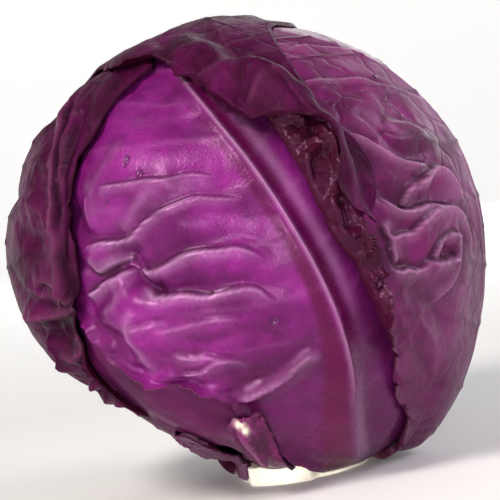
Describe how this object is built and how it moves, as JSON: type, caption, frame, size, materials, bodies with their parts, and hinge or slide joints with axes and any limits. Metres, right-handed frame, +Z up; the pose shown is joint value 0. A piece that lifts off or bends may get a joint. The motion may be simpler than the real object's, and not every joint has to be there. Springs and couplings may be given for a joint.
{
  "type": "red cabbage head",
  "caption": "Whole red cabbage head with overlapping veined, puckered outer leaves and a pale cut stem, standing upright on its cut face.",
  "frame": {"origin": "centre of the stem's cut face, which the head stands on", "axes": "+Z up from the cut face to the crown, -Y to the front leaf, +X to the right as seen from the front"},
  "size_m": [0.1718, 0.1741, 0.1694],
  "materials": {
    "stem": "cream-white, freshly cut, moist and fibrous",
    "inner_leaves": "dark wine leaf, satin",
    "front_leaf": "bright magenta-purple leaf, waxy satin",
    "leaf": "purple leaf, waxy satin",
    "wilted_leaf": "dull dark purple leaf, slightly wilted"
  },
  "bodies": {
    "root": {"stem": "stem", "inner_head": "inner_leaves", "lower_left_leaf": "leaf", "front_leaf": "front_leaf", "right_leaf": "leaf", "left_leaf": "wilted_leaf", "top_leaf": "wilted_leaf", "torn_leaf_base": "leaf", "cut_leaf_base": "leaf"}
  },
  "joints": []
}
